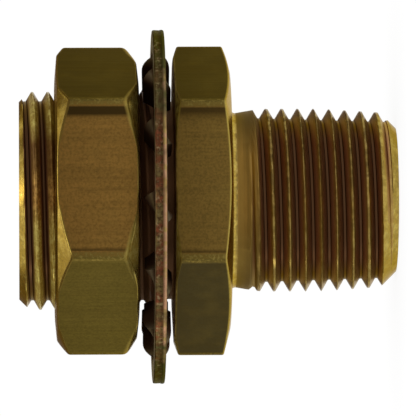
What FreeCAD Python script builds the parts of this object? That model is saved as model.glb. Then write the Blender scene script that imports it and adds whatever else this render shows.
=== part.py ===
import FreeCAD, Part
import math
import os
import Sketcher

# Tank connector: a brass pipe connector that passes through a tank wall and is held there by a lock nut
# and an internal-tooth lock washer. All sizes are in millimetres. The axis is Z. The male pipe end stands
# on z = 0, and the shank with the washer and the nut points up.

doc = FreeCAD.newDocument("tank_connector")
dims = doc.addObject("Spreadsheet::Sheet", "dims")

# Driving sizes, each set by itself
SIZES = {
    # Lengths of the connector along its axis
    "male_length": 19.2,
    "hex_length": 6.5,
    "shank_length": 17.8,
    # Hexagon flange, with a shallow chamfer on each face, and how far its corner is turned from +X. The
    # drawn bar of flange and nut has rounded corners
    "hex_across_flats": 31.5,
    "hex_turn": 8.4,
    "bar_rounding": 1.1,
    "hex_lower_face": 30.0,
    "hex_lower_slope": 14.5,
    "hex_seat_face": 32.9,
    "hex_seat_slope": 17.5,
    # Tapered male pipe end: the crests lie on a cone that runs out into the turned blank
    "male_blank": 21.15,
    "taper_run": 6.88,
    "pipe_taper": 16,
    "male_end_bevel": 2.04,
    # Neck between the male thread and the hexagon, relieved under the blank, with a sloped root
    "neck_relief": 0.375,
    "neck_length": 2.7,
    "neck_root": 0.7,
    # Parallel threaded shank
    "shank_diameter": 25.2,
    "shank_chamfer": 1.2,
    # Way through for the water, and the tapping hole of the female pipe end
    "waterway": 13.5,
    "tapping_hole": 14.7,
    "tapping_depth": 11.5,
    "mouth_diameter": 17.4,
    "mouth_angle": 90,
    # Lock washer: a flat ring with twisted teeth on its inner edge, hanging off centre on the shank. The
    # teeth are set a little towards the nut. A tooth starts inside the ring and is left long at its tip,
    # where the tip circle trims it
    "washer_diameter": 40.9,
    "washer_thickness": 1.35,
    "washer_hang": 0.73,
    "washer_play": 0.08,
    "ring_width": 2.6,
    "tooth_count": 12,
    "tooth_width": 3.7,
    "tooth_flare": 1.0,
    "tooth_twist": 37,
    "tooth_lift": 0.25,
    "tooth_overlap": 0.4,
    "tip_stock": 0.3,
    "seat_gap": 0.15,
    # Lock nut on the shank, drawn up loosely against the washer
    "nut_across_flats": 31.4,
    "nut_turn": 9.2,
    "nut_length": 9.7,
    "nut_face": 31.8,
    "nut_slope": 31,
    "nut_slack": 0.55,
    "nut_clearance": 0.05,
    "nut_lead_in": 0.6,
    # How far the cutters of the hexagon corners run out past the corners
    "cutter_overrun": 1,
}

# Sizes worked out from the driving ones
WORKED_OUT = {
    # Heights on the connector, worked out from the lengths
    "seat_height": "male_length + hex_length",
    "hex_middle": "male_length + hex_length / 2",
    "total_length": "seat_height + shank_length",
    # Turned outline of the connector
    "blank_radius": "male_blank / 2",
    "end_radius": "blank_radius - taper_run / pipe_taper / 2 - male_end_bevel",
    "cone_height": "male_end_bevel / (1 - 1 / (2 * pipe_taper))",
    "cone_radius": "end_radius + cone_height",
    "neck_radius": "blank_radius - neck_relief",
    "thread_height": "male_length - neck_length",
    "neck_height": "thread_height + blank_radius - neck_radius",
    "root_height": "male_length - neck_root",
    "root_radius": "neck_radius + neck_root",
    "shank_radius": "shank_diameter / 2",
    "shank_rim": "shank_radius - shank_chamfer",
    "shank_height": "total_length - shank_chamfer",
    # Corner cuts of the two hexagons
    "hex_corner": "hex_across_flats / sqrt(3)",
    "hex_reach": "hex_corner + cutter_overrun",
    "lower_radius": "hex_lower_face / 2",
    "lower_height": "male_length + (hex_reach - lower_radius) * tan(hex_lower_slope * 1 deg)",
    "upper_radius": "hex_seat_face / 2",
    "upper_height": "seat_height - (hex_reach - upper_radius) * tan(hex_seat_slope * 1 deg)",
    "nut_corner": "nut_across_flats / sqrt(3)",
    "nut_reach": "nut_corner + cutter_overrun",
    "nut_radius": "nut_face / 2",
    "nut_half": "nut_length / 2",
    "nut_edge": "nut_half - (nut_reach - nut_radius) * tan(nut_slope * 1 deg)",
    "nut_bore": "shank_diameter + 2 * nut_clearance",
    # Washer circles, the radii of the tooth sections, and the heights of washer and nut over the seat
    "washer_bore": "shank_diameter + 2 * (washer_hang + washer_play)",
    "ring_inside": "washer_diameter / 2 - ring_width",
    "tooth_root": "ring_inside + tooth_overlap",
    "tooth_tip": "washer_bore / 2 - tip_stock",
    "tooth_span": "tooth_root - tooth_tip",
    "tooth_rise": "tooth_width / 2 * sin(tooth_twist * 1 deg)",
    "tooth_reach": "tooth_rise + washer_thickness / 2 * cos(tooth_twist * 1 deg)",
    "washer_height": "seat_height + seat_gap + tooth_reach - tooth_lift",
    "nut_height": "washer_height + tooth_lift + tooth_reach + nut_slack + nut_half",
}

cells = {name: str(number) for name, number in SIZES.items()}
cells.update({name: "=" + formula for name, formula in WORKED_OUT.items()})
for row, (name, content) in enumerate(cells.items(), 1):
    dims.set(f"A{row}", name)
    dims.set(f"B{row}", content)
    dims.setAlias(f"B{row}", name)
doc.recompute()


def start(label):
    """Adds an empty body with the label of its piece."""
    body = doc.addObject("PartDesign::Body", label)
    body.Label = label
    return body


def plane_of(body, role):
    """Finds one of the body's own origin planes or axes by its role."""
    return next(item for item in body.Origin.OriginFeatures if item.Role == role)


def sketch_on(body, name, role):
    """Adds an empty sketch on one of the body's origin planes."""
    sketch = body.newObject("Sketcher::SketchObject", name)
    sketch.AttachmentSupport = [(plane_of(body, role), "")]
    sketch.MapMode = "FlatFace"
    return sketch


def bind(sketch, constraint, name):
    """Drives one sketch dimension from a sheet value."""
    index = sketch.addConstraint(constraint)
    sketch.setExpression(f"Constraints[{index}]", f"dims.{name}")


def outline(body, name, corners):
    """Draws a closed half section on XZ. Each corner is two sheet names, or "0" on the axis or base."""
    sketch = sketch_on(body, name, "XZ_Plane")
    places = [[0.0 if n == "0" else float(dims.get(n)) for n in corner] for corner in corners]
    points = [FreeCAD.Vector(across, up, 0) for across, up in places]
    last = len(points) - 1
    for i in range(last + 1):
        sketch.addGeometry(Part.LineSegment(points[i], points[0 if i == last else i + 1]), False)
    for i in range(last + 1):
        sketch.addConstraint(Sketcher.Constraint("Coincident", i, 2, 0 if i == last else i + 1, 1))
    for i, (across, up) in enumerate(corners):
        if across == "0":
            sketch.addConstraint(Sketcher.Constraint("PointOnObject", i, 1, -2))
        else:
            bind(sketch, Sketcher.Constraint("DistanceX", -1, 1, i, 1, points[i].x), across)
        if up == "0":
            sketch.addConstraint(Sketcher.Constraint("PointOnObject", i, 1, -1))
        else:
            bind(sketch, Sketcher.Constraint("DistanceY", -1, 1, i, 1, points[i].y), up)
    return sketch


def circle(body, name, diameter):
    """Draws a circle round the axis on XY."""
    sketch = sketch_on(body, name, "XY_Plane")
    value = float(dims.get(diameter))
    sketch.addGeometry(Part.Circle(FreeCAD.Vector(0, 0, 0), FreeCAD.Vector(0, 0, 1), value / 2), False)
    sketch.addConstraint(Sketcher.Constraint("Coincident", 0, 3, -1, 1))
    bind(sketch, Sketcher.Constraint("Diameter", 0, value), diameter)
    return sketch


def hexagon(body, name, corner):
    """Draws a regular hexagon on XY, with a corner on +X."""
    sketch = sketch_on(body, name, "XY_Plane")
    radius = float(dims.get(corner))
    turn = FreeCAD.Rotation(FreeCAD.Vector(0, 0, 1), 60)
    points = [FreeCAD.Vector(radius, 0, 0)]
    for side in range(5):
        points.append(turn.multVec(points[-1]))
    for side in range(6):
        sketch.addGeometry(Part.LineSegment(points[side], points[(side + 1) % 6]), False)
    ring = sketch.addGeometry(Part.Circle(FreeCAD.Vector(0, 0, 0), FreeCAD.Vector(0, 0, 1), radius), True)
    sketch.addConstraint(Sketcher.Constraint("Coincident", ring, 3, -1, 1))
    for side in range(6):
        sketch.addConstraint(Sketcher.Constraint("Coincident", side, 2, (side + 1) % 6, 1))
        sketch.addConstraint(Sketcher.Constraint("PointOnObject", side, 1, ring))
    for side in range(1, 6):
        sketch.addConstraint(Sketcher.Constraint("Equal", 0, side))
    sketch.addConstraint(Sketcher.Constraint("PointOnObject", 0, 1, -1))
    bind(sketch, Sketcher.Constraint("Radius", ring, radius), corner)
    return sketch


def spin(body, kind, name, sketch):
    """Turns a half section right round Z, to add or to cut."""
    feature = body.newObject(kind, name)
    feature.Profile = sketch
    feature.ReferenceAxis = (plane_of(body, "Z_Axis"), [""])
    feature.Angle = 360
    return feature


def extrude(body, kind, name, sketch, length, symmetric=False):
    """Pads or pockets a sketch by a sheet value."""
    feature = body.newObject(kind, name)
    feature.Profile = sketch
    feature.SideType = "Symmetric" if symmetric else "One side"
    feature.setExpression("Length", f"dims.{length}")
    return feature


def round_corners(body, name, reach, size):
    """Rounds the body's straight upright edges at this distance from the axis by a sheet value."""
    base = body.Tip
    found = []
    for index, edge in enumerate(base.Shape.Edges, 1):
        ends = [vertex.Point for vertex in edge.Vertexes]
        if len(ends) == 2 and all(abs(math.hypot(end.x, end.y) - reach) < 1e-4 for end in ends):
            if abs(ends[0].z - ends[1].z) > 1e-4:
                found.append(f"Edge{index}")
    feature = body.newObject("PartDesign::Fillet", name)
    feature.Base = (base, found)
    feature.setExpression("Radius", f"dims.{size}")
    return feature


def break_edges(body, name, radius, heights, width):
    """Chamfers the body's round edges of this radius at these heights by a sheet value."""
    base = body.Tip
    found = []
    for index, edge in enumerate(base.Shape.Edges, 1):
        curve = edge.Curve
        if not isinstance(curve, Part.Circle) or abs(curve.Radius - radius) > 1e-4:
            continue
        if any(abs(curve.Center.z - height) < 1e-4 for height in heights):
            found.append(f"Edge{index}")
    feature = body.newObject("PartDesign::Chamfer", name)
    feature.Base = (base, found)
    feature.setExpression("Size", f"dims.{width}")
    return feature


# Connector: one turned outline, then the hexagon round its middle
fitting = start("fitting_body")
turned = outline(fitting, "turned_outline", [
    ("0", "0"),
    ("end_radius", "0"),
    ("cone_radius", "cone_height"),
    ("blank_radius", "taper_run"),
    ("blank_radius", "thread_height"),
    ("neck_radius", "neck_height"),
    ("neck_radius", "root_height"),
    ("root_radius", "male_length"),
    ("root_radius", "hex_middle"),
    ("shank_radius", "hex_middle"),
    ("shank_radius", "shank_height"),
    ("shank_rim", "total_length"),
    ("0", "total_length"),
])
spin(fitting, "PartDesign::Revolution", "turned_shape", turned)
flange = hexagon(fitting, "flange_hexagon", "hex_corner")
flange.setExpression("AttachmentOffset.Base.z", "dims.male_length")
flange.setExpression("AttachmentOffset.Rotation.Angle", "dims.hex_turn")
extrude(fitting, "PartDesign::Pad", "flange_bar", flange, "hex_length")
doc.recompute()
round_corners(fitting, "flange_corners", dims.hex_corner, "bar_rounding")

# Shallow chamfers that round the hexagon's corners on both faces
lower_cut = outline(fitting, "lower_corner_cut", [
    ("lower_radius", "male_length"),
    ("hex_reach", "male_length"),
    ("hex_reach", "lower_height"),
])
spin(fitting, "PartDesign::Groove", "lower_chamfer", lower_cut)
upper_cut = outline(fitting, "upper_corner_cut", [
    ("upper_radius", "seat_height"),
    ("hex_reach", "seat_height"),
    ("hex_reach", "upper_height"),
])
spin(fitting, "PartDesign::Groove", "seat_chamfer", upper_cut)
doc.recompute()

# Female pipe end: a tapping hole with a countersunk mouth, then the way through to the male end
mouth = circle(fitting, "tapping_centre", "tapping_hole")
mouth.setExpression("AttachmentOffset.Base.z", "dims.total_length")
doc.recompute()
tapping = fitting.newObject("PartDesign::Hole", "female_end")
tapping.Profile = mouth
tapping.DepthType = "Dimension"
tapping.DrillPoint = "Angled"
tapping.HoleCutType = "Countersink"
tapping.setExpression("Diameter", "dims.tapping_hole")
tapping.setExpression("Depth", "dims.tapping_depth")
tapping.setExpression("HoleCutDiameter", "dims.mouth_diameter")
tapping.setExpression("HoleCutCountersinkAngle", "dims.mouth_angle")
doc.recompute()
channel = circle(fitting, "waterway_circle", "waterway")
through = extrude(fitting, "PartDesign::Pocket", "waterway_bore", channel, "total_length")
through.Reversed = True
doc.recompute()

# Lock washer: the flat ring, then one twisted tooth lofted inwards and repeated round the axis
washer = start("lock_washer")
rim = circle(washer, "rim_circles", "washer_diameter")
hole = rim.addGeometry(Part.Circle(FreeCAD.Vector(0, 0, 0), FreeCAD.Vector(0, 0, 1), dims.ring_inside), False)
rim.addConstraint(Sketcher.Constraint("Coincident", hole, 3, -1, 1))
bind(rim, Sketcher.Constraint("Radius", hole, dims.ring_inside), "ring_inside")
extrude(washer, "PartDesign::Pad", "flat_ring", rim, "washer_thickness", symmetric=True)

# Share of the way from tooth root to tip, then the shares there of the full twist and lift, of the root's
# extra width and of the sheet's thickness: the root starts a little thinner, inside the ring
TOOTH_SECTIONS = [
    (0.0, 0.0, 1.0, 0.9),
    (0.14, 0.0, 0.4, 1.0),
    (0.48, 1.0, 0.0, 1.0),
    (1.0, 1.0, 0.0, 1.0),
]


def tooth_section(number, along, twist, flare, thickness):
    """Draws the tooth's rectangle across its radial line at one place along it."""
    sketch = sketch_on(washer, f"tooth_section_{number}", "YZ_Plane")
    half_width = dims.tooth_width / 2
    half_height = dims.washer_thickness / 2
    signs = [(-1, -1), (1, -1), (1, 1), (-1, 1)]
    points = [FreeCAD.Vector(half_width * x, half_height * y, 0) for x, y in signs]
    for side in range(4):
        sketch.addGeometry(Part.LineSegment(points[side], points[(side + 1) % 4]), False)
    for side in range(4):
        sketch.addConstraint(Sketcher.Constraint("Coincident", side, 2, (side + 1) % 4, 1))
    sketch.addConstraint(Sketcher.Constraint("Horizontal", 0))
    sketch.addConstraint(Sketcher.Constraint("Horizontal", 2))
    sketch.addConstraint(Sketcher.Constraint("Vertical", 1))
    sketch.addConstraint(Sketcher.Constraint("Vertical", 3))
    sketch.addConstraint(Sketcher.Constraint("Symmetric", 0, 1, 2, 1, -1, 1))
    bind(sketch, Sketcher.Constraint("DistanceX", 0, 1, 0, 2, 2 * half_width),
         f"tooth_width + {flare} * dims.tooth_flare")
    bind(sketch, Sketcher.Constraint("DistanceY", 1, 1, 1, 2, 2 * half_height),
         f"washer_thickness * {thickness}")
    sketch.setExpression("AttachmentOffset.Base.z", f"dims.tooth_root - {along} * dims.tooth_span")
    sketch.setExpression("AttachmentOffset.Base.y", f"{twist} * dims.tooth_lift")
    sketch.setExpression("AttachmentOffset.Rotation.Angle", f"{twist} * dims.tooth_twist")
    return sketch


sections = [tooth_section(number, *shares) for number, shares in enumerate(TOOTH_SECTIONS)]
doc.recompute()
tooth = washer.newObject("PartDesign::AdditiveLoft", "twisted_tooth")
tooth.Profile = sections[0]
tooth.Sections = sections[1:]
tooth.Ruled = True
doc.recompute()
teeth = washer.newObject("PartDesign::PolarPattern", "tooth_ring")
teeth.Originals = [tooth]
teeth.Axis = (plane_of(washer, "Z_Axis"), [""])
teeth.Angle = 360
teeth.setExpression("Occurrences", "dims.tooth_count")
washer.Tip = teeth
doc.recompute()

# All tooth tips end on one circle that clears the shank
tip_circle = circle(washer, "tip_circle", "washer_bore")
tips = extrude(washer, "PartDesign::Pocket", "tip_cut", tip_circle, "washer_diameter", symmetric=True)
washer.setExpression("Placement.Base.x", "-dims.washer_hang")
washer.setExpression("Placement.Base.z", "dims.washer_height")
doc.recompute()

# Lock nut: hexagon bar with both ends chamfered alike and a bore that clears the shank
nut = start("lock_nut")
bar = hexagon(nut, "nut_hexagon", "nut_corner")
bar.setExpression("AttachmentOffset.Rotation.Angle", "dims.nut_turn")
extrude(nut, "PartDesign::Pad", "nut_bar", bar, "nut_length", symmetric=True)
doc.recompute()
round_corners(nut, "nut_corners", dims.nut_corner, "bar_rounding")
corner_cut = outline(nut, "nut_corner_cut", [
    ("nut_radius", "nut_half"),
    ("nut_reach", "nut_half"),
    ("nut_reach", "nut_edge"),
])
chamfer = spin(nut, "PartDesign::Groove", "nut_chamfer", corner_cut)
mirrored = nut.newObject("PartDesign::Mirrored", "nut_chamfer_pair")
mirrored.Originals = [chamfer]
mirrored.MirrorPlane = (plane_of(nut, "XY_Plane"), [""])
nut.Tip = mirrored
doc.recompute()
bore = circle(nut, "nut_bore_circle", "nut_bore")
extrude(nut, "PartDesign::Pocket", "nut_thread_bore", bore, "nut_length", symmetric=True)
doc.recompute()

# Lead-in at both mouths of the nut's thread
break_edges(nut, "nut_lead_ins", dims.nut_bore / 2, [dims.nut_half, -dims.nut_half], "nut_lead_in")
nut.setExpression("Placement.Base.z", "dims.nut_height")
doc.recompute()

pieces = [fitting, washer, nut]
for item in doc.Objects:
    if "Invalid" in item.State or "Error" in item.State:
        raise ValueError(f"{item.Name} did not build: {item.State}")
for piece in pieces:
    if piece.Shape.isNull() or not piece.Shape.isValid() or len(piece.Shape.Solids) != 1:
        raise ValueError(f"{piece.Label} is not one valid solid")

os.makedirs("parts", exist_ok=True)
for piece in pieces:
    piece.Shape.exportStep(f"parts/{piece.Label}.step")
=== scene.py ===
import math

import bmesh
import bpy
import numpy as np
from mathutils import Matrix, Vector


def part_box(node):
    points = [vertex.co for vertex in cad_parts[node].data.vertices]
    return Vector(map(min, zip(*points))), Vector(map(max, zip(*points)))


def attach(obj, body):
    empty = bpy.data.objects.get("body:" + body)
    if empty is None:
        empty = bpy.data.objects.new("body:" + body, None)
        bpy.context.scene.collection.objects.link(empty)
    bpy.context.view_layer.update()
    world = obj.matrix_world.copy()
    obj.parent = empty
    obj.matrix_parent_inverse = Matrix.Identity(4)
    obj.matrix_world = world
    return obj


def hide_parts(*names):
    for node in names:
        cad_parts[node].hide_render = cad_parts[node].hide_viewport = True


# Dressed tank connector: a turned brass body with cut threads, a brass lock nut and a plated lock washer.
# Lengths are in metres. The axis is Z, the male pipe end stands on the floor, and the shank points up.
# The photograph's view is from -Y, turned so that +X is up in it and +Z is on its left.

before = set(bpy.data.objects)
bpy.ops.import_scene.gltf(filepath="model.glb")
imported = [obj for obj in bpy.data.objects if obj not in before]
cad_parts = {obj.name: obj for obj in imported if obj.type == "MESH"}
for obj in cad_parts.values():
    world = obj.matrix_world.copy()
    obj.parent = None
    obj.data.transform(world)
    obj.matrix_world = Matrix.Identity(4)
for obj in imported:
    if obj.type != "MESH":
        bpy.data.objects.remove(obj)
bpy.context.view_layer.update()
nut_low, nut_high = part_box("lock_nut")
washer_low, washer_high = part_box("lock_washer")
body_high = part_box("fitting_body")[1]

MM = 0.001
TURN = 2 * math.pi
FLANK = math.tan(math.radians(30))

# Radii nearer than SAME are one. TINY keeps divisions from zero and angles off a sector's edge
SAME = 1e-6
TINY = 1e-9

# Mesh: points this near are merged, slivers this thin go, and edges that turn more than this stay sharp
MERGED = 0.002 * MM
SLIVER = 0.0005 * MM
SHARP = math.radians(32)

# Body, from the male end up
MALE_LENGTH = 19.2 * MM
HEX_LENGTH = 6.5 * MM
SEAT = MALE_LENGTH + HEX_LENGTH
TOP = body_high.z
WATERWAY = 6.75 * MM
WATERWAY_BREAK = 0.3 * MM
WATERWAY_ROWS = (6 * MM, 20 * MM)
BORE_EASE = 0.08 * MM
MALE_BLANK = 10.56 * MM
MALE_FULL = 15.5 * MM
MALE_TIP = 9.99 * MM
MALE_WEAR = 0.066
MALE_FACE = 8.32 * MM
TAPER = 1 / 32
NECK_START = 10.41 * MM
NECK_END = 10.08 * MM
NECK_HEIGHT = 16.6 * MM
NECK_LOW = NECK_HEIGHT + 0.6 * MM
NECK_FILLET = 0.7 * MM
SHANK = 12.6 * MM
SHANK_CHAMFER = 1.2 * MM
RELIEF = 11.4 * MM
RELIEF_LENGTH = 1.3 * MM
RELIEF_EASE = 0.3 * MM

# Threads: spacing, height of one crest over +X, radii, depths and the half widths of crests and roots.
# The lands of the shank and of the female end are shares of the spacing
PITCH = 25.4 * MM / 14
CREST_WEAR = 0.02 * MM
MALE_CREST_Z = 9.506 * MM
MALE_ROOT = 8.98 * MM
MALE_ROOT_LAND = 0.13 * MM
MALE_DEPTH = 0.9 * MM
MALE_RUNOUT = 15.9 * MM
RUNOUT_SLOPE = 0.75
SHANK_CREST_Z = 40.15 * MM
SHANK_ROOT = 11.5 * MM
SHANK_LAND = 1 / 16
SHANK_START = SEAT + RELIEF_LENGTH * 0.8
SHANK_FULL = TOP - 2.4 * MM
NUT_CREST = 11.72 * MM
NUT_ROOT = 12.66 * MM
NUT_PLAY = 0.09 * MM
FEMALE_PITCH = 25.4 * MM / 18
FEMALE_BOTTOM = TOP - 11.35 * MM
FEMALE_DRILL = 7.2 * MM
FEMALE_DRILL_DEPTH = 0.2 * MM
FEMALE_STEP = 0.5 * MM
FEMALE_DEPTH = 1.02 * MM
FEMALE_LAND = 0.06
FEMALE_RUN_IN = 0.8
FEMALE_MOUTH = 8.7 * MM
FEMALE_FACE = FEMALE_MOUTH + 0.5 * MM

# Lines of mesh along each thread, as shares of its spacing either side of the crest
MALE_LINES = (0, 0.03, 0.06, 0.09, 0.13, 0.25, 0.38, 0.43, 0.46, 0.5)
SHANK_LINES = (0, 0.035, 0.075, 0.22, 0.4, 0.45, 0.5)
SHANK_END_LINES = np.linspace(0, 0.5, 13)
FEMALE_LINES = (0, 0.05, 0.09, 0.42, 0.5)
NUT_LINES = (0, 0.06, 0.1, 0.38, 0.42, 0.5)

# Hexagon bar of body and nut. A chamfer is the radius of its face and its slope
HEX_FLATS = 31.5 * MM
NUT_FLATS = 31.4 * MM
BAR_ROUNDING = 1.1 * MM
HALF_FLAT_COLUMNS = 19
CORNER_CROWDING = 1.7
EDGE_BREAK = 0.16 * MM
LEAST_DROP = EDGE_BREAK * 0.8
FACE_EASE = 0.12 * MM
HEX_EASE = 0.22 * MM
HEX_TURN = math.radians(8.4)
HEX_LOWER = (15.0 * MM, math.radians(14.5))
HEX_SEAT = (16.45 * MM, math.radians(17.5))
NUT_TURN = math.radians(9.2)
NUT_END = (16.45 * MM, math.radians(34.5))
NUT_END_OFF_CENTRE = (0.75 * MM, math.radians(249.2))
NUT_SEAT = (15.9 * MM, math.radians(31))
NUT_SOFTNESS = 0.55 * MM
NUT_CROWN = 0.24 * MM
NUT_CROWN_EASE = 0.3 * MM
NUT_LEAD_IN = 0.75 * MM
NUT_MOUTH = NUT_ROOT + NUT_LEAD_IN
NUT_FACE = NUT_MOUTH + 0.4 * MM

# A painted glint brightens the nut's chamfer about this angle: fully within the second, fading over the
# third
NUT_GLINT = math.radians(256)
NUT_GLINT_HALF = math.radians(6.6)
NUT_GLINT_FADE = math.radians(11)

# Tone of the six flats in turn: 0 dark olive, 0.5 olive, 1 brown. Out of view it differs as tarnish does;
# on the flats in view it is painted light and shade, lighter brown in front and dark olive on the upper
# one
HEX_TONES = (0.6, 0.2, 0.8, 0.02, 0.74, 0.0)
NUT_TONES = (0.3, 0.7, 0.5, 0.5, 1.0, 0.0)

# Painted shade in the gap under the washer and nut reaches this far up the shank, and fades over this
# length
GAP_SHADE_TOP = 30.2 * MM
GAP_SHADE_FADE = 0.4 * MM

# The male thread is bright up to this height, and the grooves of its end grow dark over this stretch
MALE_BRIGHT = 1.8 * MM
MALE_GROOVES = 0.9 * MM
MALE_GROOVES_FADE = 0.7 * MM

# The shank thread's valley starts at this share of its depth, and is fully dark after this much more
VALLEY_START = 0.42
VALLEY_SPAN = 0.45

# Lock washer
WASHER_X = (washer_low.x + washer_high.x) / 2
TOOTH_LIFT = 0.25 * MM
WASHER_HANG = 0.2 * MM
WASHER_Z = (washer_low.z + washer_high.z) / 2 - TOOTH_LIFT + WASHER_HANG
WASHER_RADIUS = (washer_high.x - washer_low.x) / 2
WASHER_HALF = 1.35 * MM / 2
WASHER_RING = 17.85 * MM
WASHER_BORE = 13.41 * MM
WASHER_FACE = WASHER_RADIUS - 1.2 * MM
WASHER_EDGE = 0.05 * MM
BURNISH_LOW = 0.05 * MM - WASHER_HALF
BURNISH_HIGH = 0.45 * MM - WASHER_HALF
SLOT_ROUND = 0.4 * MM
SLOT_COLUMNS = 13
TOOTH_COUNT = 12
TOOTH_SECTOR = TURN / TOOTH_COUNT
TOOTH_WIDTH = 3.7 * MM
TOOTH_ROOT = WASHER_RING - SLOT_ROUND
TOOTH_TWIST = math.radians(37)
TOOTH_TWIST_SHARE = 0.4
TOOTH_NARROWING = 0.06
TOOTH_COLUMNS = 9
TOOTH_ROWS = 12

# Lamps: place, width, length towards the piece, radiance and tint
LAMPS = {
    "overhead": ((-0.05, 0.2, 0.7), 0.74, 0.52, 0.75, (1.0, 0.98, 0.94)),
    "strip": ((0.02, 0.14, 0.66), 0.3, 0.34, 0.42, (1.0, 0.96, 0.9)),
    "glint": ((0.055, 0.03, 0.7), 0.08, 0.13, 5.0, (1.0, 0.9, 0.74)),
    "corner": ((0.44, 0.4, 0.6), 0.22, 0.22, 0.7, (1.0, 0.98, 0.94)),
    "front": ((-0.05, -0.42, 0.62), 0.3, 0.3, 2.2, (1.0, 0.97, 0.9)),
    "side": ((-0.7, -0.05, 0.06), 0.14, 0.14, 5.0, (1.0, 0.96, 0.88)),
}
ROOM = (0.22, 0.175, 0.15)

# Floor: rings of its flat, the curve up at its rim, and how far from the piece its shadow reaches
FLOOR_RINGS = (0.0, 0.15, 0.6, 1.5)
FLOOR_CURVE = 0.1
FLOOR_RIM = 0.16
SHADOW_REACH = 0.03

# Camera: the point it looks at, its distance, its height and roll as angles, and its lens in millimetres
CAMERA_AIM = Vector((-0.00089, 0.0, 0.02167))
CAMERA_DISTANCE = 0.808
CAMERA_HEIGHT = math.radians(1.55)
CAMERA_ROLL = math.radians(0.17)
CAMERA_LENS = 605


def ripple(along, seed, waves, low, high):
    """A seeded smooth wave between -1 and 1 that repeats after one turn of along."""
    draw = np.random.default_rng(seed)
    total = np.zeros_like(along)
    for _ in range(waves):
        total += np.sin(draw.integers(low, high) * along + draw.uniform(0, TURN))
    return np.clip(total / math.sqrt(waves), -1, 1)


def smooth(t):
    """Eases from 0 to 1."""
    t = np.clip(t, 0, 1)
    return t * t * (3 - 2 * t)


def ramp(value, start, span):
    """Eases from 0 at start to 1 a span later."""
    return smooth((value - start) / span)


def column_angles(turn):
    """Angles of the mesh columns: six sectors, with the columns closer together towards each corner."""
    half = math.radians(30) * np.linspace(0, 1, HALF_FLAT_COLUMNS) ** CORNER_CROWDING
    sector = np.concatenate([half, 2 * half[-1] - half[-2:0:-1]])
    return turn + np.concatenate([sector + side * TURN / 6 for side in range(6)] + [[TURN]])


class Bar:
    """Drawn hexagon bar: its radius and the finish of its flats and corners at each angle."""

    def __init__(self, angles, turn, flats, tones):
        sector = TURN / 6
        share = (angles - turn + TINY) / sector
        from_corner = sector / 2 - abs(share % 1 - 0.5) * sector
        from_middle = sector / 2 - from_corner
        centre = (flats / 2 - BAR_ROUNDING) / math.cos(sector / 2)
        rise = np.maximum(BAR_ROUNDING ** 2 - (centre * np.sin(from_corner)) ** 2, 0)
        rounded = centre * np.cos(from_corner) + np.sqrt(rise)
        tangent = math.atan((1 - 2 * BAR_ROUNDING / flats) * math.tan(sector / 2))
        self.radius = np.where(from_middle < tangent, flats / 2 / np.cos(from_middle), rounded)
        # A pale painted highlight runs along each corner and a painted shade beside it, in millimetres
        # from the corner
        off = from_corner * flats / 2 / math.cos(sector / 2) / MM
        light = 1 - ramp(off, 0.35, 0.35)
        tone = np.array(tones)[np.floor(share).astype(int) % 6]
        width = 1.1 + 0.9 * tone * (share % 1 > 0.5)
        painted_shade = ramp(off, 0.5, 0.2) * ramp(width - off, 0, 0.5) * ramp(tone, 0.5, 0.3)
        self.finish = {"bar": 1.0, "tone": tone, "corner": light - 0.8 * painted_shade}


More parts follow.
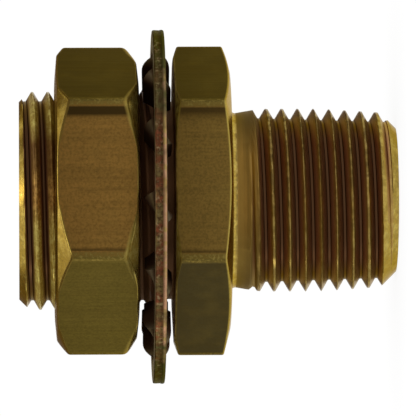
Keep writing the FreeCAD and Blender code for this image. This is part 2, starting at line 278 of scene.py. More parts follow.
class Skin:
    """Rows of points round the axis, each row a ring or one line of a helix, joined into a mesh."""

    FINISHES = ("bar", "tone", "corner", "edge", "depth", "dull", "haze", "gap_shade")
    EASE_ROWS = 5
    EASE_LIMIT = 0.45

    def __init__(self, angles):
        self.angles = angles
        self.rows = []
        self.finish = {name: [] for name in self.FINISHES}

    def ring(self, radius, height, **finish):
        """Adds one row. Radius, height and each finish are a number or one number for each column."""
        shape = self.angles.shape
        self.rows.append((np.broadcast_to(radius, shape), np.broadcast_to(height, shape)))
        for name in self.FINISHES:
            self.finish[name].append(np.broadcast_to(finish.get(name, 0.0), shape))

    def outline(self, corners):
        """Adds rows along corners, each (radius, height, ease, finish up to it), rounded by its ease.

        A rounded corner is worn bright along its middle, as much as the wear in its finish says.
        """
        shape = self.angles.shape
        spots = [np.stack([np.broadcast_to(part, shape) for part in corner[:2]]) for corner in corners]
        for i, (_, _, ease, finish) in enumerate(corners):
            if ease == 0 or i in (0, len(corners) - 1):
                self.ring(*spots[i], **finish)
                continue
            onward = corners[i + 1][3]
            before, after = spots[i - 1] - spots[i], spots[i + 1] - spots[i]
            reach = [np.linalg.norm(side, axis=0) for side in (before, after)]
            ease = np.minimum(ease, self.EASE_LIMIT * np.minimum(*reach))
            for t in np.linspace(0, 1, self.EASE_ROWS):
                pull_back = (1 - t) ** 2 * ease / np.maximum(reach[0], TINY)
                pull_on = t ** 2 * ease / np.maximum(reach[1], TINY)
                spot = spots[i] + before * pull_back + after * pull_on
                blend = {}
                for name in self.FINISHES:
                    blend[name] = (1 - t) * finish.get(name, 0.0) + t * onward.get(name, 0.0)
                wear = finish.get("wear", 1.0) * (1 - abs(2 * t - 1))
                blend["edge"] = np.maximum(wear, blend["edge"])
                self.ring(*spot, **blend)

    def thread(self, low, high, pitch, crest, lines, profile):
        """Adds helix rows from low to high. profile(height, phase, turned) gives radius and finish there.

        The lines are shares of the pitch either side of a crest. The phase is the share of it from the
        nearest crest, and turned is the angle along the helix.
        """
        levels = sorted({share % 1 for share in lines} | {-share % 1 for share in lines})
        first = math.floor((low - crest) / pitch) - 2
        last = math.ceil((high - crest) / pitch) + 1
        for whole in range(first, last):
            for level in levels:
                height = crest + pitch * (whole + level + self.angles / TURN)
                height = np.clip(height, low, high)
                around = (height - crest) / pitch - self.angles / TURN
                phase = abs((around + 0.5) % 1 - 0.5)
                radius, finish = profile(height, phase, TURN * around + self.angles)
                self.ring(radius, height, **finish)

    def add_inside(self, inside):
        """Adds the rows of an inside surface, from its last row to its first."""
        self.rows += inside.rows[::-1]
        for name in self.FINISHES:
            self.finish[name] += inside.finish[name][::-1]

    def mesh(self, name, closed=True):
        """Makes the object: the rows joined in order, and the last row to the first if it is closed."""
        radius, height = (np.array(part) for part in zip(*self.rows))
        count, columns = radius.shape
        points = np.stack([radius * np.cos(self.angles), radius * np.sin(self.angles), height], axis=-1)
        faces = []
        for row in range(count if closed else count - 1):
            here, after = row * columns, (row + 1) % count * columns
            for column in range(columns - 1):
                faces.append((here + column, here + column + 1, after + column + 1, after + column))
        values = {key: np.array(rows).ravel() for key, rows in self.finish.items()}
        return make_mesh(name, points.reshape(-1, 3), faces, values)


def make_mesh(name, points, faces, values):
    """A smooth mesh object with its finish values, its doubled points merged and sharp edges marked."""
    mesh = bpy.data.meshes.new(name)
    mesh.from_pydata(points.tolist(), [], faces)
    for key, numbers in values.items():
        mesh.attributes.new(key, "FLOAT", "POINT").data.foreach_set("value", numbers.astype(np.float32))
    form = bmesh.new()
    form.from_mesh(mesh)
    bmesh.ops.remove_doubles(form, verts=form.verts, dist=MERGED)
    bmesh.ops.dissolve_degenerate(form, edges=form.edges, dist=SLIVER)
    bmesh.ops.recalc_face_normals(form, faces=form.faces)
    form.to_mesh(mesh)
    form.free()
    piece = bpy.data.objects.new(name, mesh)
    bpy.context.scene.collection.objects.link(piece)
    mesh.shade_smooth()
    mesh.set_sharp_from_angle(angle=SHARP)
    return piece


def shank_flank(phase):
    """Radius of the shank thread's bare flank at a share of the pitch from its crest."""
    return SHANK + (SHANK_LAND - phase) * PITCH / FLANK


def shank_thread(height, phase, turned):
    """Outside thread of the shank, between the relief at the seat and the chamfer at the end."""
    relief = RELIEF + np.maximum(height - SEAT - RELIEF_LENGTH, 0)
    chamfer = SHANK - SHANK_CHAMFER + TOP - height
    crest = SHANK - CREST_WEAR * (1 + ripple(turned, seed=5, waves=6, low=3, high=24))
    cut = np.clip(shank_flank(phase), SHANK_ROOT, crest)
    radius = np.minimum(np.minimum(cut, relief), chamfer)
    depth = np.clip((SHANK - radius) / (SHANK - SHANK_ROOT), 0, 1)
    valley = np.clip((depth - VALLEY_START) / VALLEY_SPAN, 0, 1)
    on_thread = np.where(radius < cut - SAME, 0.0, 1.0)
    # Painted shade darkens the shank low down, in the gap under the washer and nut
    return radius, {
        "depth": on_thread * valley,
        "dull": 0.2 * on_thread,
        "haze": on_thread * (1 - 0.8 * valley),
        "gap_shade": ramp(GAP_SHADE_TOP - height, 0, GAP_SHADE_FADE),
    }


def male_thread(height, phase, turned):
    """Tapered outside thread: its roots follow the taper, its crests end in the blank, and it runs out."""
    root = MALE_ROOT + height * TAPER
    runout = root + np.maximum(height - MALE_RUNOUT, 0) * RUNOUT_SLOPE
    flank = root + ((0.5 - phase) * PITCH - MALE_ROOT_LAND) / FLANK
    chip = CREST_WEAR * np.maximum(ripple(turned, seed=9, waves=7, low=5, high=30), 0)
    neck_heights = [MALE_FULL, NECK_HEIGHT, MALE_LENGTH - NECK_FILLET]
    blank = np.interp(height, neck_heights, [MALE_BLANK, NECK_START, NECK_END])
    blank = np.minimum(blank, MALE_TIP + height * MALE_WEAR) - chip
    chamfer = MALE_FACE + height
    cut = np.maximum(np.maximum(flank, root), runout)
    radius = np.minimum(np.minimum(cut, blank), chamfer)
    depth = np.clip((blank - radius) / np.maximum(blank - root, MALE_DEPTH), 0, 1)
    dull = 0.2 + 0.65 * ramp(height, MALE_BRIGHT, MM) + 0.15 * ramp(height, MALE_FULL, MM)
    haze = 0.6 * dull * (depth < 0.97)
    depth = depth * (0.25 + 0.75 * ramp(height, MALE_GROOVES, MALE_GROOVES_FADE))
    return radius, {"depth": np.where(radius >= chamfer - SAME, 0.0, depth), "dull": dull, "haze": haze}


def female_thread(height, phase, turned):
    """Tapered inside thread of the female end, under its countersunk mouth."""
    rise = height - FEMALE_BOTTOM
    crest = FEMALE_DRILL + rise * TAPER
    flank = crest + FEMALE_DEPTH + (FEMALE_LAND - phase) * FEMALE_PITCH / FLANK
    cut = np.clip(flank, crest, crest + FEMALE_DEPTH)
    cut = np.minimum(cut, FEMALE_DRILL + rise * FEMALE_RUN_IN)
    mouth = FEMALE_MOUTH + height - TOP
    radius = np.maximum(cut, mouth)
    depth = np.clip((radius - crest) / FEMALE_DEPTH, 0, 1)
    return radius, {"depth": np.where(mouth >= cut, 0.0, depth)}


def nut_thread(height, phase, turned):
    """Inside thread of the nut, clear of the shank's thread, with a lead-in at each face."""
    cut = np.clip(shank_flank(phase) + NUT_PLAY, NUT_CREST, NUT_ROOT)
    lead_in = np.maximum(NUT_MOUTH - (height - nut_low.z), NUT_MOUTH - (nut_high.z - height))
    radius = np.maximum(cut, lead_in)
    depth = np.clip((radius - NUT_CREST) / (NUT_ROOT - NUT_CREST), 0, 1)
    return radius, {"depth": np.where(lead_in >= cut, 0.0, depth)}


def corner_cut(bar, end):
    """Where the chamfer of one end, (face radius, slope), meets the face and drops to the bar's flats."""
    face, slope = end
    drop = np.maximum((bar - face) * math.tan(slope), LEAST_DROP)
    return np.minimum(face, bar - EDGE_BREAK), drop


def neck_fillet():
    """Rows of the round between the neck and the hexagon, where the neck's dull finish ends."""
    rows = []
    for turned in np.linspace(0, math.pi / 2, 9):
        radius = NECK_END + NECK_FILLET * (1 - math.cos(turned))
        height = MALE_LENGTH - NECK_FILLET * (1 - math.sin(turned))
        rows.append((radius, height, 0, {"dull": 1 - float(ramp(turned, 0, 0.5))}))
    return rows


def make_body():
    """The connector: male thread, neck, hexagon, shank thread and female end, back down the waterway."""
    skin = Skin(column_angles(HEX_TURN))
    bar = Bar(skin.angles, HEX_TURN, HEX_FLATS, HEX_TONES)
    lower_face, lower_drop = corner_cut(bar.radius, HEX_LOWER)
    seat_face, seat_drop = corner_cut(bar.radius, HEX_SEAT)
    skin.outline([
        (WATERWAY, WATERWAY_ROWS[0], 0, {}),
        (WATERWAY, WATERWAY_BREAK, BORE_EASE, {}),
        (WATERWAY + WATERWAY_BREAK, 0, BORE_EASE, {}),
        (MALE_FACE, 0, 0, {}),
    ])
    skin.thread(0, NECK_LOW, PITCH, MALE_CREST_Z, MALE_LINES, male_thread)
    skin.outline([
        (male_thread(np.array(NECK_LOW), 0.5, np.array(0.0))[0], NECK_LOW, 0, {"dull": 1.0}),
        *neck_fillet(),
        (lower_face, MALE_LENGTH, FACE_EASE, {}),
        (bar.radius, MALE_LENGTH + lower_drop, HEX_EASE, {"edge": 0.35}),
        (bar.radius, SEAT - seat_drop, HEX_EASE, {**bar.finish, "wear": 0.3}),
        (seat_face, SEAT, FACE_EASE, {"edge": 0.2, "dull": 0.6, "haze": 1.0}),
        # Painted shade of the gap under the washer, on the seat's relief
        (RELIEF, SEAT, RELIEF_EASE, {"gap_shade": 0.8}),
        (RELIEF, SHANK_START, 0, {"gap_shade": 1.0}),
    ])
    skin.thread(SHANK_START, SHANK_FULL, PITCH, SHANK_CREST_Z, SHANK_LINES, shank_thread)
    skin.thread(SHANK_FULL, TOP, PITCH, SHANK_CREST_Z, SHANK_END_LINES, shank_thread)
    skin.outline([
        (SHANK - SHANK_CHAMFER, TOP, 0, {}),
        (FEMALE_FACE, TOP, 0, {}),
    ])
    inside = Skin(skin.angles)
    inside.thread(FEMALE_BOTTOM, TOP, FEMALE_PITCH, FEMALE_BOTTOM, FEMALE_LINES, female_thread)
    skin.add_inside(inside)
    skin.outline([
        (FEMALE_DRILL, FEMALE_BOTTOM, 0, {}),
        (FEMALE_DRILL, FEMALE_BOTTOM - FEMALE_DRILL_DEPTH, BORE_EASE, {}),
        (WATERWAY, FEMALE_BOTTOM - FEMALE_STEP, BORE_EASE, {}),
        (WATERWAY, WATERWAY_ROWS[1], 0, {}),
    ])
    return skin.mesh("connector_body")


def make_nut():
    """The lock nut: hexagon bar with crowned faces and chamfered corners, and its thread."""
    skin = Skin(column_angles(NUT_TURN))
    bar = Bar(skin.angles, NUT_TURN, NUT_FLATS, NUT_TONES)
    seat_face, seat_drop = corner_cut(bar.radius, NUT_SEAT)
    offset, towards = NUT_END_OFF_CENTRE
    end_circle = NUT_END[0] - offset * np.cos(skin.angles - towards)
    end_face, end_drop = corner_cut(bar.radius, (end_circle, NUT_END[1]))
    seat_crown = NUT_CROWN * (seat_face - NUT_FACE) / (NUT_SEAT[0] - NUT_FACE)
    end_crown = NUT_CROWN * (end_face - NUT_FACE) / (end_circle - NUT_FACE)
    # Painted glint on the seat chamfer: edge and haze raised about this angle, over a little wear on its
    # rounded corner
    glint = 1 - ramp(abs(skin.angles - NUT_GLINT), NUT_GLINT_HALF, NUT_GLINT_FADE)
    brightened = {"edge": 0.8 * glint, "haze": 0.3 + 0.7 * glint, "wear": 0.25}
    skin.outline([
        # Painted shade on the nut's face towards the washer
        (NUT_MOUTH, nut_low.z, 0, {"gap_shade": 1.0}),
        (NUT_FACE, nut_low.z, NUT_CROWN_EASE, {"gap_shade": 1.0}),
        (seat_face, nut_low.z + seat_crown, FACE_EASE, {"gap_shade": 0.4}),
        (bar.radius, nut_low.z + seat_crown + seat_drop, NUT_SOFTNESS, brightened),
        (bar.radius, nut_high.z - end_crown - end_drop, NUT_SOFTNESS * 0.5, bar.finish),
        (end_face, nut_high.z - end_crown, FACE_EASE, {"dull": 0.3}),
        (NUT_FACE, nut_high.z, NUT_CROWN_EASE, {}),
        (NUT_MOUTH, nut_high.z, 0, {}),
    ])
    inside = Skin(skin.angles)
    inside.thread(nut_low.z, nut_high.z, PITCH, SHANK_CREST_Z, NUT_LINES, nut_thread)
    skin.add_inside(inside)
    return skin.mesh("nut")


class Sheet:
    """Points and faces of the washer. Land marks its rim's burnished band, and the second mask marks
    painted shade on its teeth and bore.
    """

    def __init__(self):
        self.points, self.faces, self.lands, self.painted_shades = [], [], [], []

    def put(self, x, y, z, land=0.0, painted_shade=0.0):
        """Adds one point and returns its number."""
        self.points.append((x, y, z))
        self.lands.append(land)
        self.painted_shades.append(painted_shade)
        return len(self.points) - 1

    def join(self, first, second):
        """Fills the space between two rows of points with faces."""
        for i in range(len(first) - 1):
            self.faces.append((first[i], first[i + 1], second[i + 1], second[i]))


def washer_columns():
    """Angles of one sector's columns from the middle of its tooth, and the ring's inner radius at each."""
    half_tooth = math.asin(TOOTH_WIDTH / 2 / WASHER_RING)
    on_tooth = np.linspace(-half_tooth, half_tooth, TOOTH_COLUMNS)
    crossed = (1 - np.cos(np.linspace(0, math.pi, SLOT_COLUMNS))) / 2
    on_slot = half_tooth + (TOOTH_SECTOR - 2 * half_tooth) * crossed
    from_side = np.minimum(on_slot - half_tooth, on_slot[-1] - on_slot) * WASHER_RING
    left = np.clip(SLOT_ROUND - from_side, 0, SLOT_ROUND)
    drop = SLOT_ROUND - np.sqrt(SLOT_ROUND ** 2 - left ** 2)
    angles = np.concatenate([on_tooth, on_slot[1:-1]])
    return angles, np.concatenate([np.full(TOOTH_COLUMNS, TOOTH_ROOT), WASHER_RING - drop[1:-1]])


def rim_section():
    """Rim of the sheet from its top face to its underside: rolled over at the top, burnished low down."""
    top, under = WASHER_HALF, -WASHER_HALF
    insets_and_heights = [
        (0.25 * MM, top), (0.12 * MM, top - 0.02 * MM), (0.05 * MM, top - 0.08 * MM),
        (0.03 * MM, top - 0.25 * MM), (0.06 * MM, under + 0.5 * MM), (0.01 * MM, under + 0.4 * MM),
        (0, under + 0.2 * MM), (0.03 * MM, under + 0.1 * MM), (0.1 * MM, under + 0.02 * MM),
        (0.2 * MM, under),
    ]
    rolled = [(WASHER_RADIUS - inset, height) for inset, height in insets_and_heights]
    return [(WASHER_FACE, top), *rolled, (WASHER_FACE, under)]


def add_ring(sheet, angles, inner):
    """Adds the washer's ring. Returns its columns, each from the bore over the top and back below."""
    rim = [(radius, z, float(BURNISH_LOW < z < BURNISH_HIGH), 0.0) for radius, z in rim_section()]
    columns = []
    for tooth in range(TOOTH_COUNT):
        for angle, bore in zip(math.pi + tooth * TOOTH_SECTOR + angles, inner):
            # The ring's faces carry painted shade, full at the bore and gone halfway out
            faces = [(bore + share * (WASHER_FACE - bore), 1 - 2 * share) for share in (0, 0.5)]
            top = [(radius, WASHER_HALF, 0.0, painted_shade) for radius, painted_shade in faces]
            under = [(radius, -WASHER_HALF, 0.0, painted_shade) for radius, painted_shade in reversed(faces)]
            column = []
            for radius, z, land, painted_shade in top + rim + under:
                x, y = radius * math.cos(angle), radius * math.sin(angle)
                column.append(sheet.put(x, y, z, land, painted_shade))
            columns.append(column)
    for i, here in enumerate(columns):
        pairs = list(zip(here, columns[(i + 1) % len(columns)]))
        for first, second in zip(pairs, pairs[1:]):
            sheet.join(first, second)
        if i % len(angles) >= TOOTH_COLUMNS - 1:
            sheet.join(pairs[-1], pairs[0])
    return columns


def add_tooth(sheet, middle, angles, roots):
    """Adds one tooth on the ring's columns at its root: it twists, lifts and narrows towards the shank."""
    out = np.array([math.cos(middle), math.sin(middle), 0])
    across = np.array([-math.sin(middle), math.cos(middle), 0])
    up = np.array([0, 0, 1.0])
    rows = {1: [[column[0] for column in roots]], -1: [[column[-1] for column in roots]]}
    for step in np.linspace(0, 1, TOOTH_ROWS + 1)[1:]:
        bend = 1 - (1 - min(step / TOOTH_TWIST_SHARE, 1)) ** 2
        twist = TOOTH_TWIST * bend
        turned_across = math.cos(twist) * across + math.sin(twist) * up
        turned_up = math.cos(twist) * up - math.sin(twist) * across
        for side in rows:
            line = []
            for angle in angles:
                start = TOOTH_ROOT * math.cos(angle)
                aside = TOOTH_ROOT * math.sin(angle) * (1 - TOOTH_NARROWING * step)
                along = start + (math.sqrt(WASHER_BORE ** 2 - aside ** 2) - start) * step
                spot = along * out + aside * turned_across
                spot = spot + side * WASHER_HALF * turned_up + bend * TOOTH_LIFT * up
                # A tooth takes on painted shade as it bends
                line.append(sheet.put(*spot, painted_shade=bend ** 0.5))
            rows[side].append(line)
    top, under = rows[1], rows[-1]
    for side in rows.values():
        for first, second in zip(side, side[1:]):
            sheet.join(first, second)
    for row in range(TOOTH_ROWS):
        for column in (0, TOOTH_COLUMNS - 1):
            above, below = ([line[column] for line in side[row:row + 2]] for side in (top, under))
            sheet.join(above, below)
    sheet.join(top[-1], under[-1])


def make_washer():
    """The lock washer: one stamped sheet, a ring with twelve teeth cut inwards and twisted."""
    sheet = Sheet()
    angles, inner = washer_columns()
    columns = add_ring(sheet, angles, inner)
    for tooth in range(TOOTH_COUNT):
        first = tooth * len(angles)
        roots = columns[first:first + TOOTH_COLUMNS]
        add_tooth(sheet, math.pi + tooth * TOOTH_SECTOR, angles[:TOOTH_COLUMNS], roots)
    spots = np.array(sheet.points) + np.array([WASHER_X, 0, WASHER_Z])
    finish = {"land": np.array(sheet.lands), "painted_shade": np.array(sheet.painted_shades)}
    piece = make_mesh("washer", spots, sheet.faces, finish)
    bevel = piece.modifiers.new("worn_edges", "BEVEL")
    bevel.width = WASHER_EDGE
    bevel.segments = 2
    bevel.limit_method = "ANGLE"
    bevel.angle_limit = math.radians(40)
    return piece


class Value:
    """One output of a material's nodes. Arithmetic on it adds Math nodes."""

    def __init__(self, finish, socket):
        self.finish = finish
        self.socket = socket

    def math(self, operation, first, second):
        """One Math node on two Values or numbers."""
        return self.finish.node("ShaderNodeMath", {"operation": operation}, {0: first, 1: second})

    def __add__(self, other):
        return self.math("ADD", self, other)

    def __sub__(self, other):
        return self.math("SUBTRACT", self, other)

    def __rsub__(self, other):
        return self.math("SUBTRACT", other, self)

    def __mul__(self, other):
        return self.math("MULTIPLY", self, other)

    def __truediv__(self, other):
        return self.math("DIVIDE", self, other)

    def __pow__(self, other):
        return self.math("POWER", self, other)

    __radd__ = __add__
    __rmul__ = __mul__

    def between(self, low, high):
        """0 at low and below, 1 at high and above, straight between."""
        return self.finish.node("ShaderNodeMapRange", {"clamp": True}, {0: self, 1: low, 2: high})


class Finish:
    """A material that is built from expressions on Values."""

    def __init__(self, name):
        self.material = bpy.data.materials.new(name)
        self.material.use_nodes = True
        self.tree = self.material.node_tree
        self.tree.nodes.clear()

    def node(self, kind, settings, inputs, output=0):
        """Adds a node: its settings first, then the values or links of its sockets. Returns one output."""
        made = self.tree.nodes.new(kind)
        for key, setting in settings.items():
            setattr(made, key, setting)
        for key, value in inputs.items():
            if isinstance(value, Value):
                self.tree.links.new(value.socket, made.inputs[key])
            else:
                made.inputs[key].default_value = value
        return Value(self, made.outputs[output]) if made.outputs else None

    def place(self):
        """Position on the piece, as (x, y, z)."""
        spot = self.node("ShaderNodeTexCoord", {}, {}, "Object")
        return [self.node("ShaderNodeSeparateXYZ", {}, {0: spot}, axis) for axis in range(3)]

    def vector(self, x, y, z):
        """One vector from three numbers or Values."""
        return self.node("ShaderNodeCombineXYZ", {}, {0: x, 1: y, 2: z})

    def noise(self, spot, scale, detail, roughness):
        """Noise from 0 to 1, about 0.5 in the middle."""
        inputs = {"Vector": spot, "Scale": scale, "Detail": detail, "Roughness": roughness}
        return self.node("ShaderNodeTexNoise", {}, inputs)

    def mask(self, name):
        """One finish value of the mesh."""
        return self.node("ShaderNodeAttribute", {"attribute_name": name}, {}, "Fac")

    def mix(self, share, first, second):
        """A colour between two colours."""
        return self.node("ShaderNodeMix", {"data_type": "RGBA"}, {0: share, 6: first, 7: second}, 2)

    def bump(self, height, distance):
        """The surface's direction, tilted by a height."""
        return self.node("ShaderNodeBump", {}, {"Height": height, "Distance": distance, "Strength": 1.0})

    def metal(self, inputs):
        """The metal shader with these inputs."""
        return self.node("ShaderNodeBsdfPrincipled", {}, inputs)

    def close(self, shader):
        """Ends the material in its shader."""
        self.node("ShaderNodeOutputMaterial", {}, {0: shader})
        return self.material


def colour(red, green, blue):
    """A solid colour for a socket."""
    return (red, green, blue, 1.0)


class BrassMarks:
    """Where the brass is marked: the finish values of its mesh, and noises that break them up."""

    def __init__(self, finish):
        x, y, z = finish.place()
        masks = (finish.mask(name) for name in Skin.FINISHES)
        self.bar, self.tone, self.corner, self.edge, self.depth, self.dull, self.haze, self.gap_shade = masks
        self.x = x
        radius = (x * x + y * y) ** 0.5
        spot = finish.vector(x, y, z)
        along_bar = finish.vector(x * 3200, y * 3200, z * 90)
        long_streaks = finish.vector(x * 620, y * 620, z * 20)
        round_rings = finish.vector(radius * 9000, 0.0, z * 9000)
        round_neck = finish.vector(x * 60, y * 60, z * 2600)
        self.cloud = finish.noise(spot, scale=260, detail=4.0, roughness=0.6)
        self.mottle = finish.noise(spot, scale=950, detail=3.0, roughness=0.65)
        self.grain = finish.noise(spot, scale=3600, detail=3.0, roughness=0.6)
        self.drawn = finish.noise(along_bar, scale=1.0, detail=3.0, roughness=0.65)
        self.streak = finish.noise(long_streaks, scale=1.0, detail=2.0, roughness=0.5)
        self.tooled = finish.noise(round_rings, scale=1.0, detail=2.0, roughness=0.6)
        self.scored = finish.noise(round_neck, scale=1.0, detail=2.0, roughness=0.5)
        self.neck = self.dull.between(0.86, 1.0)
        self.crest = (1 - self.depth.between(0.0, 0.15)) * self.dull * (1 - self.neck)


def turned_brass(finish, marks):
    """Turned faces: bright metal with tool marks, dulled on the threads and the neck."""
    warm, pale = colour(0.50, 0.34, 0.06), colour(0.42, 0.30, 0.055)
    bright = finish.mix(marks.cloud.between(0.35, 0.65), warm, pale)
    bright = finish.mix(marks.mottle.between(0.46, 0.62) * 0.7, bright, colour(0.66, 0.52, 0.13))
    bright = finish.mix(marks.grain.between(0.4, 0.7) * 0.65, bright, colour(0.22, 0.16, 0.04))
    bright = finish.mix(marks.tooled.between(0.4, 0.8) * 0.3, bright, colour(0.32, 0.21, 0.04))
    dulled = marks.dull * (0.75 + 0.25 * marks.cloud)
    return finish.mix(dulled, bright, colour(0.215, 0.137, 0.036))


def gilt_brass(finish, marks):
    """Hazy turned metal, flecked: orange along the front, painted shade turning it brown towards +X, and
    painted highlights turning it yellow at the sides.
    """
    flecked = (0.45 * marks.mottle + 0.55 * marks.grain).between(0.44, 0.58)
    orange = finish.mix(flecked, colour(0.30, 0.14, 0.04), colour(0.86, 0.52, 0.14))
    yellow = finish.mix(flecked, colour(0.62, 0.46, 0.09), colour(1.0, 0.92, 0.27))
    # Painted shade and painted highlights, set by position in x
    painted_shade_high_x = marks.x.between(1.5 * MM, 4 * MM) * 0.8
    painted_light_sides = (0 - marks.x).between(0.5 * MM, 3.5 * MM) + marks.x.between(6.5 * MM, 9 * MM)
    return finish.mix(painted_light_sides, finish.mix(painted_shade_high_x, orange, colour(0.17, 0.072, 0.028)), yellow)


def neck_brass(finish, marks):
    """The plain neck: scored all round, and darker towards its sides with painted shade."""
    light, scored = colour(0.40, 0.24, 0.055), colour(0.25, 0.165, 0.04)
    neck = finish.mix(marks.scored.between(0.4, 0.65) * 0.6, light, scored)
    # Painted shade towards both sides of the neck, reaching further on the -X side
    shaded = 0.8 * (0 - marks.x).between(0.5 * MM, 7 * MM) + 0.8 * marks.x.between(5 * MM, 9 * MM)
    return finish.mix(shaded, neck, colour(0.12, 0.084, 0.02))


def cut_brass(finish, marks):
    """Turned faces, neck and threads: stained crests with painted shade towards +X, rubbed crests,
    tarnished flanks painted paler at the sides, dirt in the roots.
    """
    gilded = marks.haze * (1 - marks.dull)
    turned = finish.mix(gilded, turned_brass(finish, marks), gilt_brass(finish, marks))
    turned = finish.mix(marks.neck * 0.85, turned, neck_brass(finish, marks))
    # Crest stain in patches, with painted shade deepening it towards +X
    stain_and_shade = (1 - marks.mottle.between(0.42, 0.58)) * (0.3 + 0.5 * marks.x.between(-6 * MM, 4 * MM))
    turned = finish.mix(marks.crest * stain_and_shade, turned, colour(0.08, 0.05, 0.018))
    brightened = marks.crest * marks.grain.between(0.52, 0.66) * marks.mottle.between(0.4, 0.56)
    turned = finish.mix(brightened * 0.8, turned, colour(0.50, 0.37, 0.13))
    # Tarnish, red in front, painted paler and olive towards the sides
    painted_pale_sides = (marks.x * marks.x).between(45 * MM * MM, 90 * MM * MM)
    tarnish = finish.mix(painted_pale_sides * 0.8, colour(0.32, 0.155, 0.072), colour(0.46, 0.345, 0.10))
    cut = finish.mix(marks.depth.between(0.1, 0.5), turned, tarnish)
    return finish.mix(marks.depth.between(0.8, 1.0), cut, colour(0.075, 0.036, 0.016))


def flat_brass(finish, marks):
    """Drawn flats of the hexagons: dark olive to brown by their tone, streaked, with a painted highlight
    along each corner and painted shade beside it.
    """
    dark_olive, olive = colour(0.052, 0.042, 0.019), colour(0.125, 0.094, 0.02)
    # Tone: tarnish on the flats out of view, painted light and shade on those in view
    flat = finish.mix(marks.tone.between(0.0, 0.5), dark_olive, olive)
    flat = finish.mix(marks.tone.between(0.5, 1.0), flat, colour(0.285, 0.155, 0.034))
    flat = finish.mix(marks.streak.between(0.45, 0.7) * 0.16, flat, colour(0.07, 0.045, 0.012))
    flat = finish.mix(marks.drawn.between(0.4, 0.75) * 0.22, flat, colour(0.09, 0.062, 0.016))
    flat = finish.mix(marks.grain.between(0.4, 0.75) * 0.5, flat, colour(0.05, 0.035, 0.01))
    flat = finish.mix(marks.cloud.between(0.5, 0.7) * 0.1, flat, colour(0.24, 0.17, 0.036))
    # Painted highlight along each corner, with painted sparkle specks, and painted shade beside it
    light = marks.corner.between(0.0, 1.0) * (0.6 + 0.4 * marks.grain.between(0.35, 0.6))
    flat = finish.mix(light, flat, colour(0.15, 0.108, 0.023))
    speckled = marks.corner.between(0.2, 1.0) * marks.grain.between(0.5, 0.64)
    flat = finish.mix(speckled * 0.45, flat, colour(0.36, 0.27, 0.07))
    return finish.mix((0 - marks.corner).between(0.0, 0.8), flat, colour(0.05, 0.03, 0.008))


def brass():
    """Brass: tarnished drawn flats, turned faces, cut threads with dark roots, worn edges with a painted
    glint, and painted shade in the gaps between the parts.
    """
    finish = Finish("brass")
    marks = BrassMarks(finish)
    base = finish.mix(marks.bar, cut_brass(finish, marks), flat_brass(finish, marks))
    # Edge wear, and the nut's painted glint, which comes on the same edge mask
    wear_and_painted_glint = marks.edge * (0.4 + 0.6 * marks.grain.between(0.35, 0.6))
    base = finish.mix(wear_and_painted_glint * 0.7, base, colour(0.52, 0.38, 0.08))
    # Painted shade in the gaps between the parts
    base = finish.mix(marks.gap_shade, base, colour(0.185, 0.094, 0.046))

    rough = marks.bar * (0.38 + 0.2 * marks.drawn) + (1 - marks.bar) * (0.18 + 0.12 * marks.tooled)
    rough = rough - 0.08 * (marks.edge + marks.crest) + 0.25 * (marks.gap_shade + marks.neck)
    rough = rough + 0.1 * marks.depth
    lines = marks.bar * marks.drawn + (1 - marks.bar) * marks.tooled
    return finish.close(finish.metal({
        "Base Color": base,
        "Metallic": 1 - 0.7 * marks.haze - 0.45 * marks.gap_shade,
        "Roughness": rough,
        "Specular IOR Level": 0.15,
        "Specular Tint": colour(0.75, 0.62, 0.4),
        "Normal": finish.bump(lines + 0.5 * marks.grain, 0.006 * MM),
    }))


def plated_steel():
    """Zinc plate, passivated yellow: olive, with a rough rim painted lighter and red-brown in front and
    darker at its sides, and painted shade on the teeth.
    """
    finish = Finish("plated_steel")
    x, y, z = finish.place()
    land, painted_shade = finish.mask("land"), finish.mask("painted_shade")
    spot = finish.vector(x, y, z)
    radius = ((x - WASHER_X) ** 2.0 + y * y) ** 0.5
    rim = radius.between(WASHER_RADIUS - 0.22 * MM, WASHER_RADIUS - 0.1 * MM)
    bloom = finish.noise(spot, scale=330, detail=3.0, roughness=0.6)
    patch = finish.noise(finish.vector(x, y + 0.2, z * 0.5), scale=900, detail=3.0, roughness=0.6)
    speck = finish.noise(spot, scale=2400, detail=3.0, roughness=0.7)
    fleck = finish.noise(finish.vector(x + 0.1, y, z), scale=1900, detail=3.0, roughness=0.6)
    # Painted light on the front of the rim and painted shade towards its sides, set by where the rim faces
    front = ((y + x * 0.14) / (0 - WASHER_RADIUS) + (bloom - 0.5) * 0.9).between(0.6, 0.9)

    sheet = finish.mix(bloom.between(0.4, 0.6), colour(0.42, 0.38, 0.25), colour(0.32, 0.28, 0.14))
    rust = finish.mix(patch.between(0.42, 0.56), colour(0.20, 0.15, 0.055), colour(0.24, 0.075, 0.035))
    edge = finish.mix(front, colour(0.10, 0.095, 0.034), rust)
    edge = finish.mix(speck.between(0.36, 0.58), colour(0.08, 0.045, 0.02), edge)
    edge = finish.mix(fleck.between(0.56, 0.70) * 0.6, edge, colour(0.45, 0.35, 0.18))
    # The burnished band keeps its colour in front and is painted dark towards the sides
    burnish = finish.mix(patch.between(0.45, 0.6), colour(0.50, 0.285, 0.165), colour(0.41, 0.285, 0.10))
    burnish = finish.mix(front, colour(0.07, 0.068, 0.026), burnish)
    edge = finish.mix(land * (0.6 + 0.4 * bloom.between(0.3, 0.5)), edge, burnish)
    base = finish.mix(rim, sheet, edge)
    # Painted shade on the teeth and towards the bore
    base = finish.mix(painted_shade, base, colour(0.068, 0.034, 0.018))
    return finish.close(finish.metal({
        "Base Color": base,
        "Metallic": 1.0,
        "Roughness": 0.34 + 0.2 * speck + 0.4 * painted_shade,
        "Specular Tint": colour(0.45, 0.42, 0.28),
        "Normal": finish.bump(speck, 0.02 * MM),
    }))


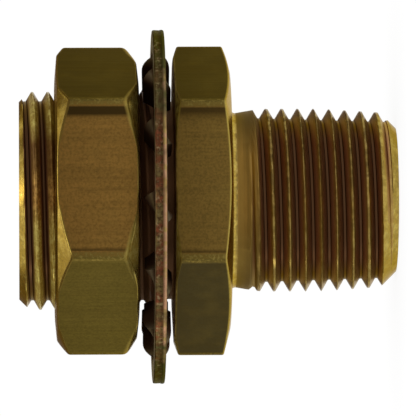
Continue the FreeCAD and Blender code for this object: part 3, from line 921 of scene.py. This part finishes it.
def pale_floor():
    """White floor: plainly white to the eye and in reflections, with a soft shadow beside the piece."""
    finish = Finish("pale_floor")
    paint = finish.node("ShaderNodeBsdfDiffuse", {}, {"Color": colour(0.9, 0.9, 0.9)})
    glow = finish.node("ShaderNodeEmission", {}, {"Color": colour(1, 1, 1), "Strength": 1.02})
    rays = ("Is Camera Ray", "Is Glossy Ray", "Is Transmission Ray")
    camera, glossy, through = (finish.node("ShaderNodeLightPath", {}, {}, ray) for ray in rays)
    seen = (camera + glossy + through).between(0.0, 1.0)
    open_sky = finish.node("ShaderNodeAmbientOcclusion", {"samples": 16}, {"Distance": SHADOW_REACH}, "AO")
    white = seen * (0.86 + 0.13 * open_sky)
    return finish.close(finish.node("ShaderNodeMixShader", {}, {0: white, 1: paint, 2: glow}))


def make_floor():
    """A round floor that curves up at its far rim, so that no edge shows behind the piece."""
    skin = Skin(np.linspace(0, TURN, 97))
    for radius in FLOOR_RINGS:
        skin.ring(radius, 0.0)
    for turned in np.linspace(0, 1, 9)[1:] * math.pi / 2:
        skin.ring(FLOOR_RINGS[-1] + FLOOR_CURVE * math.sin(turned), FLOOR_CURVE * (1 - math.cos(turned)))
    skin.ring(FLOOR_RINGS[-1] + FLOOR_CURVE, FLOOR_RIM)
    floor = skin.mesh("floor", closed=False)
    floor.data.materials.append(pale_floor())


def lamp(name, place, width, length, radiance, tint):
    """A soft lamp that faces the middle of the piece, its length towards it."""
    light = bpy.data.lights.new(name, "AREA")
    light.shape = "RECTANGLE"
    light.size = width
    light.size_y = length
    light.energy = radiance * math.pi * width * length
    light.color = tint
    holder = bpy.data.objects.new(name, light)
    holder.location = place
    holder.rotation_euler = (Vector((0, 0, TOP / 2)) - Vector(place)).to_track_quat("-Z", "Y").to_euler()
    bpy.context.scene.collection.objects.link(holder)


def make_light():
    """Soft studio light: lamps overhead, in front and at the side, a small one for a glint, a dim room."""
    for name, settings in LAMPS.items():
        lamp(name, *settings)
    world = bpy.data.worlds.new("room")
    world.use_nodes = True
    world.node_tree.nodes["Background"].inputs["Color"].default_value = colour(*ROOM)
    bpy.context.scene.world = world


def make_camera():
    """Long lens from the front, a little above the floor, turned so that the axis lies level."""
    ahead = Vector((0, math.cos(CAMERA_HEIGHT), -math.sin(CAMERA_HEIGHT)))
    right = Vector((0, -math.sin(CAMERA_HEIGHT), -math.cos(CAMERA_HEIGHT)))
    up = right.cross(ahead)
    turned_right = math.cos(CAMERA_ROLL) * right - math.sin(CAMERA_ROLL) * up
    turned_up = math.cos(CAMERA_ROLL) * up + math.sin(CAMERA_ROLL) * right
    spot = CAMERA_AIM - ahead * CAMERA_DISTANCE
    data = bpy.data.cameras.new("camera")
    data.lens = CAMERA_LENS
    camera = bpy.data.objects.new("camera", data)
    camera.matrix_world = Matrix([*zip(turned_right, turned_up, -ahead, spot), (0, 0, 0, 1)])
    bpy.context.scene.collection.objects.link(camera)
    bpy.context.scene.camera = camera


brass_finish = brass()
steel_finish = plated_steel()
for piece, node, slot, finish in [
    (make_body(), "fitting_body", "brass", brass_finish),
    (make_washer(), "lock_washer", "zinc_steel", steel_finish),
    (make_nut(), "lock_nut", "brass", brass_finish),
]:
    piece.data.materials.append(finish)
    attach(piece, node)
    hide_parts(node)

make_floor()
make_light()
make_camera()
bpy.context.scene.view_settings.view_transform = "Standard"
